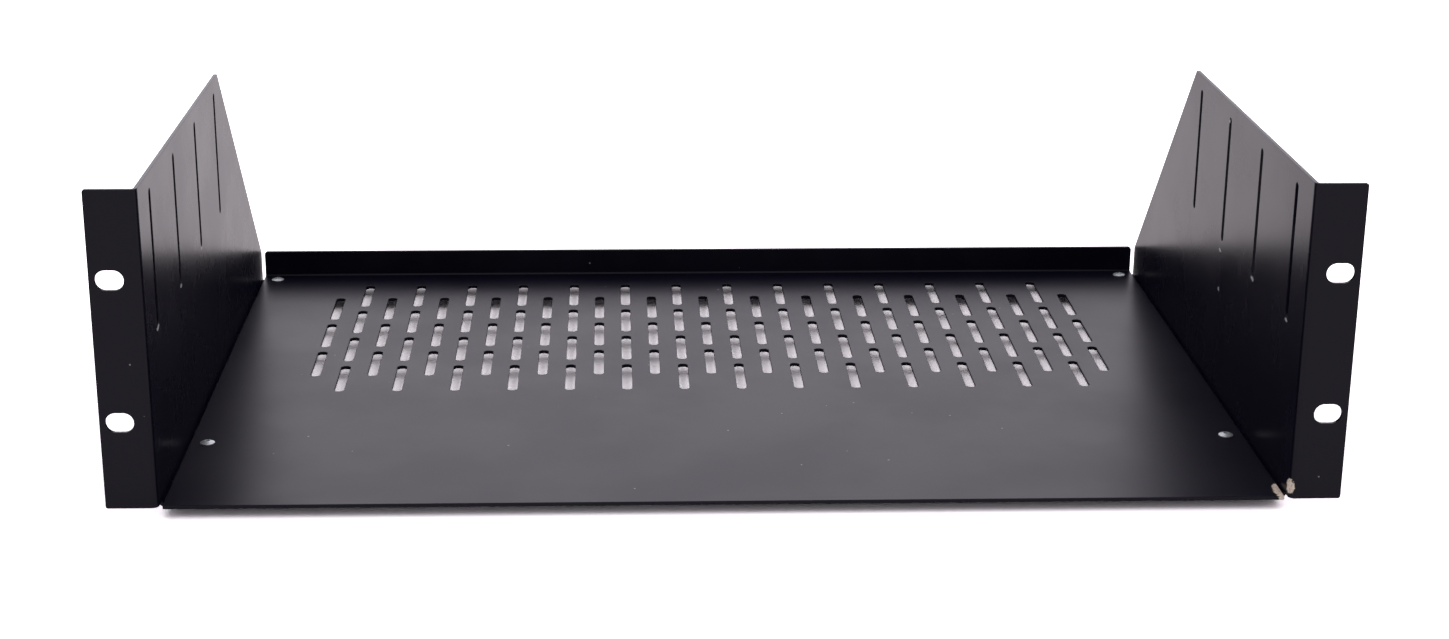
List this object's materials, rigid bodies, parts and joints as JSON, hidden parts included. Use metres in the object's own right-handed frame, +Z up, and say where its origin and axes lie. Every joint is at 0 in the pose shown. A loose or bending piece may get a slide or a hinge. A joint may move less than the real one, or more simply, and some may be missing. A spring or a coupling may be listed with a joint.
{
  "type": "cantilever rack shelf",
  "caption": "Vented sheet-steel tray on folded side brackets with slotted rack ears, riveted together, for carrying equipment in a rack.",
  "frame": {"origin": "centre of the rectangle of rack slots, on the back faces of the ears", "axes": "+X along the ears to the right as seen from the front, +Y back into the rack, +Z up"},
  "size_m": [0.4826, 0.3065, 0.1336],
  "materials": {
    "black_powder_coat": "satin, fine texture",
    "rivet_aluminium": "satin",
    "mandrel_steel": "bright, broken at the stem"
  },
  "bodies": {
    "root": {"shelf_tray": "black_powder_coat", "left_bracket": "black_powder_coat", "right_bracket": "black_powder_coat", "rivets": "rivet_aluminium", "rivet_mandrels": "mandrel_steel"}
  },
  "joints": []
}
